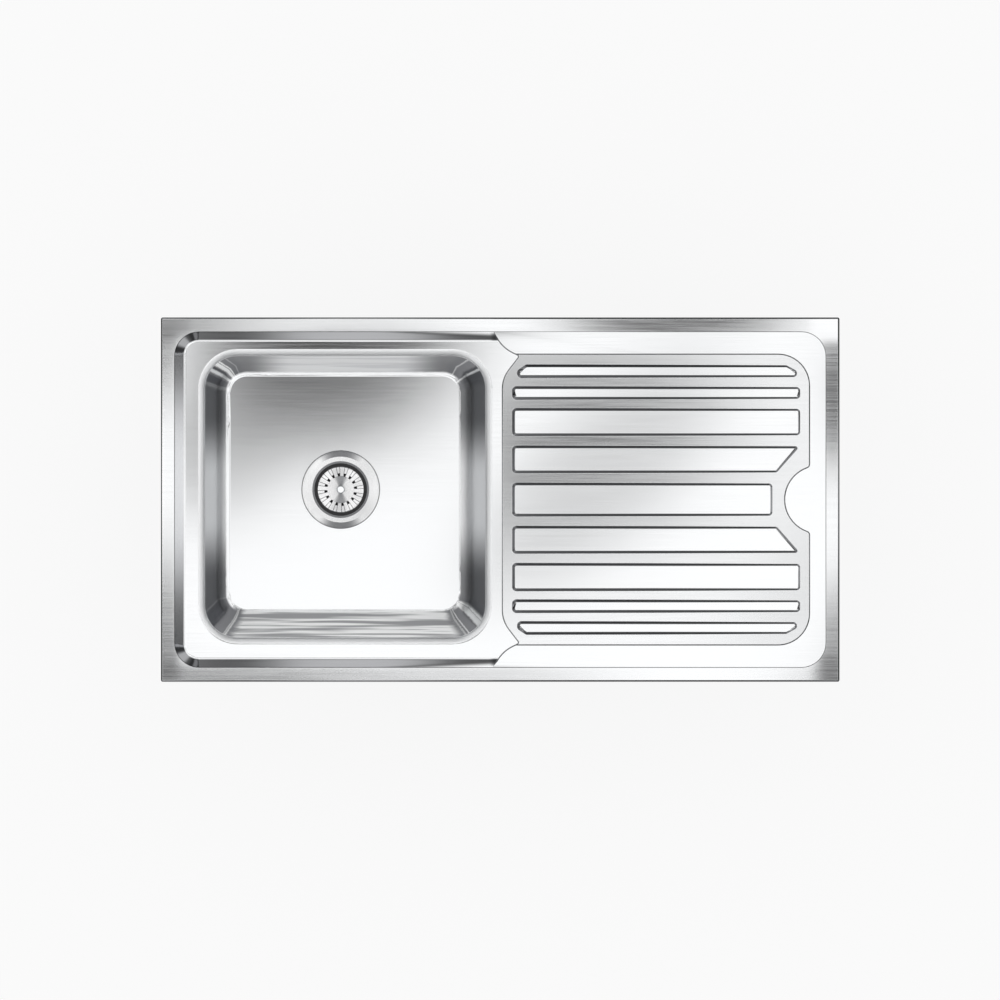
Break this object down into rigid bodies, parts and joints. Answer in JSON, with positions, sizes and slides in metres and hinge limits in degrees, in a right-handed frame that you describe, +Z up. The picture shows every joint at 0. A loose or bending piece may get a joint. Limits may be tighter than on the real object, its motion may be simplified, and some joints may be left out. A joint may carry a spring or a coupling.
{
  "type": "kitchen sink with drainboard",
  "caption": "Inset stainless steel kitchen sink with a square bowl, ribbed drainboard, basket strainer waste and underside fixing clips.",
  "frame": {"origin": "centre of the rim's outline, on the worktop's surface that the turned-down lip rests on", "axes": "+X towards the drainboard, +Y to the back edge, +Z up"},
  "size_m": [0.95, 0.51, 0.329],
  "materials": {
    "deck_steel": "mirror-polished stainless steel, very fine polishing lines",
    "bowl_steel": "satin-polished stainless steel",
    "strainer_steel": "polished stainless steel, turned",
    "basket_steel": "polished stainless steel, pressed and punched",
    "knob_chrome": "bright chrome on turned brass",
    "spring_steel": "drawn stainless steel",
    "zinc_steel": "bright zinc plating on stamped steel",
    "black_rubber": "matt moulded rubber",
    "grey_foam": "closed-cell foam strip",
    "damping_pad": "matt bitumen-filled sheet",
    "fibre_washer": "pressed fibre",
    "white_plastic": "moulded polypropylene, light sheen"
  },
  "bodies": {
    "root": {"sink_deck": "deck_steel", "bowl": "bowl_steel", "rim_seal": "grey_foam", "bowl_floor_pad": "damping_pad", "drainer_pad": "damping_pad", "strainer_body": "strainer_steel", "spring_catch": "spring_steel", "flange_gasket": "black_rubber", "underside_gasket": "black_rubber", "friction_ring": "fibre_washer", "locknut": "white_plastic", "tailpiece_washer": "black_rubber", "tailpiece": "white_plastic", "coupling_nut": "white_plastic", "clip_brackets": "zinc_steel", "clip_nuts": "zinc_steel"},
    "basket_stem": {"basket_post": "spring_steel", "stopper_seal": "black_rubber", "stopper_nut": "white_plastic"},
    "basket": {"basket": "basket_steel", "basket_seal": "black_rubber", "basket_knob": "knob_chrome"},
    "clip_1": {"clip_washer_1": "zinc_steel"},
    "clip_screw_1": {"clip_screw_1": "zinc_steel"},
    "clip_claw_1": {"clip_claw_1": "zinc_steel"},
    "clip_2": {"clip_washer_2": "zinc_steel"},
    "clip_screw_2": {"clip_screw_2": "zinc_steel"},
    "clip_claw_2": {"clip_claw_2": "zinc_steel"},
    "clip_3": {"clip_washer_3": "zinc_steel"},
    "clip_screw_3": {"clip_screw_3": "zinc_steel"},
    "clip_claw_3": {"clip_claw_3": "zinc_steel"},
    "clip_4": {"clip_washer_4": "zinc_steel"},
    "clip_screw_4": {"clip_screw_4": "zinc_steel"},
    "clip_claw_4": {"clip_claw_4": "zinc_steel"},
    "clip_5": {"clip_washer_5": "zinc_steel"},
    "clip_screw_5": {"clip_screw_5": "zinc_steel"},
    "clip_claw_5": {"clip_claw_5": "zinc_steel"},
    "clip_6": {"clip_washer_6": "zinc_steel"},
    "clip_screw_6": {"clip_screw_6": "zinc_steel"},
    "clip_claw_6": {"clip_claw_6": "zinc_steel"},
    "clip_7": {"clip_washer_7": "zinc_steel"},
    "clip_screw_7": {"clip_screw_7": "zinc_steel"},
    "clip_claw_7": {"clip_claw_7": "zinc_steel"},
    "clip_8": {"clip_washer_8": "zinc_steel"},
    "clip_screw_8": {"clip_screw_8": "zinc_steel"},
    "clip_claw_8": {"clip_claw_8": "zinc_steel"}
  },
  "joints": [
    {"name": "basket_lift", "type": "slide", "parent": "root", "child": "basket_stem", "axis": [0, 0, 1], "range_m": [-0.006, 0.09]},
    {"name": "basket_turn", "type": "hinge", "parent": "basket_stem", "child": "basket", "pos_m": [-0.2233, 0.014, -0.219], "axis": [0, 0, 1], "continuous": true},
    {"name": "clip_1_rise", "type": "slide", "parent": "root", "child": "clip_1", "axis": [0, 0, 1], "range_m": [0, 0.012]},
    {"name": "clip_1_screw_turn", "type": "hinge", "parent": "clip_1", "child": "clip_screw_1", "pos_m": [-0.32, 0.21725, -0.0535], "axis": [0, 0, 1], "range_deg": [0, 5400]},
    {"name": "clip_1_claw_swing", "type": "hinge", "parent": "clip_1", "child": "clip_claw_1", "pos_m": [-0.32, 0.21725, -0.0535], "axis": [0, 0, 1], "range_deg": [0, 90]},
    {"name": "clip_2_rise", "type": "slide", "parent": "root", "child": "clip_2", "axis": [0, 0, 1], "range_m": [0, 0.012]},
    {"name": "clip_2_screw_turn", "type": "hinge", "parent": "clip_2", "child": "clip_screw_2", "pos_m": [-0.08, 0.21725, -0.0535], "axis": [0, 0, 1], "range_deg": [0, 5400]},
    {"name": "clip_2_claw_swing", "type": "hinge", "parent": "clip_2", "child": "clip_claw_2", "pos_m": [-0.08, 0.21725, -0.0535], "axis": [0, 0, 1], "range_deg": [0, 90]},
    {"name": "clip_3_rise", "type": "slide", "parent": "root", "child": "clip_3", "axis": [0, 0, 1], "range_m": [0, 0.012]},
    {"name": "clip_3_screw_turn", "type": "hinge", "parent": "clip_3", "child": "clip_screw_3", "pos_m": [0.22, 0.21725, -0.0535], "axis": [0, 0, 1], "range_deg": [0, 5400]},
    {"name": "clip_3_claw_swing", "type": "hinge", "parent": "clip_3", "child": "clip_claw_3", "pos_m": [0.22, 0.21725, -0.0535], "axis": [0, 0, 1], "range_deg": [0, 90]},
    {"name": "clip_4_rise", "type": "slide", "parent": "root", "child": "clip_4", "axis": [0, 0, 1], "range_m": [0, 0.012]},
    {"name": "clip_4_screw_turn", "type": "hinge", "parent": "clip_4", "child": "clip_screw_4", "pos_m": [-0.32, -0.2135, -0.0535], "axis": [0, 0, 1], "range_deg": [0, 5400]},
    {"name": "clip_4_claw_swing", "type": "hinge", "parent": "clip_4", "child": "clip_claw_4", "pos_m": [-0.32, -0.2135, -0.0535], "axis": [0, 0, 1], "range_deg": [0, 90]},
    {"name": "clip_5_rise", "type": "slide", "parent": "root", "child": "clip_5", "axis": [0, 0, 1], "range_m": [0, 0.012]},
    {"name": "clip_5_screw_turn", "type": "hinge", "parent": "clip_5", "child": "clip_screw_5", "pos_m": [-0.08, -0.2135, -0.0535], "axis": [0, 0, 1], "range_deg": [0, 5400]},
    {"name": "clip_5_claw_swing", "type": "hinge", "parent": "clip_5", "child": "clip_claw_5", "pos_m": [-0.08, -0.2135, -0.0535], "axis": [0, 0, 1], "range_deg": [0, 90]},
    {"name": "clip_6_rise", "type": "slide", "parent": "root", "child": "clip_6", "axis": [0, 0, 1], "range_m": [0, 0.012]},
    {"name": "clip_6_screw_turn", "type": "hinge", "parent": "clip_6", "child": "clip_screw_6", "pos_m": [0.22, -0.2135, -0.0535], "axis": [0, 0, 1], "range_deg": [0, 5400]},
    {"name": "clip_6_claw_swing", "type": "hinge", "parent": "clip_6", "child": "clip_claw_6", "pos_m": [0.22, -0.2135, -0.0535], "axis": [0, 0, 1], "range_deg": [0, 90]},
    {"name": "clip_7_rise", "type": "slide", "parent": "root", "child": "clip_7", "axis": [0, 0, 1], "range_m": [0, 0.012]},
    {"name": "clip_7_screw_turn", "type": "hinge", "parent": "clip_7", "child": "clip_screw_7", "pos_m": [-0.433, 0, -0.0535], "axis": [0, 0, 1], "range_deg": [0, 5400]},
    {"name": "clip_7_claw_swing", "type": "hinge", "parent": "clip_7", "child": "clip_claw_7", "pos_m": [-0.433, 0, -0.0535], "axis": [0, 0, 1], "range_deg": [0, 90]},
    {"name": "clip_8_rise", "type": "slide", "parent": "root", "child": "clip_8", "axis": [0, 0, 1], "range_m": [0, 0.012]},
    {"name": "clip_8_screw_turn", "type": "hinge", "parent": "clip_8", "child": "clip_screw_8", "pos_m": [0.444, 0, -0.0535], "axis": [0, 0, 1], "range_deg": [0, 5400]},
    {"name": "clip_8_claw_swing", "type": "hinge", "parent": "clip_8", "child": "clip_claw_8", "pos_m": [0.444, 0, -0.0535], "axis": [0, 0, 1], "range_deg": [0, 90]}
  ],
  "couplings": [
    {"joint": "clip_1_screw_turn", "follows": "clip_1_rise", "rad_per_m": 7854},
    {"joint": "clip_2_screw_turn", "follows": "clip_2_rise", "rad_per_m": 7854},
    {"joint": "clip_3_screw_turn", "follows": "clip_3_rise", "rad_per_m": 7854},
    {"joint": "clip_4_screw_turn", "follows": "clip_4_rise", "rad_per_m": 7854},
    {"joint": "clip_5_screw_turn", "follows": "clip_5_rise", "rad_per_m": 7854},
    {"joint": "clip_6_screw_turn", "follows": "clip_6_rise", "rad_per_m": 7854},
    {"joint": "clip_7_screw_turn", "follows": "clip_7_rise", "rad_per_m": 7854},
    {"joint": "clip_8_screw_turn", "follows": "clip_8_rise", "rad_per_m": 7854}
  ]
}
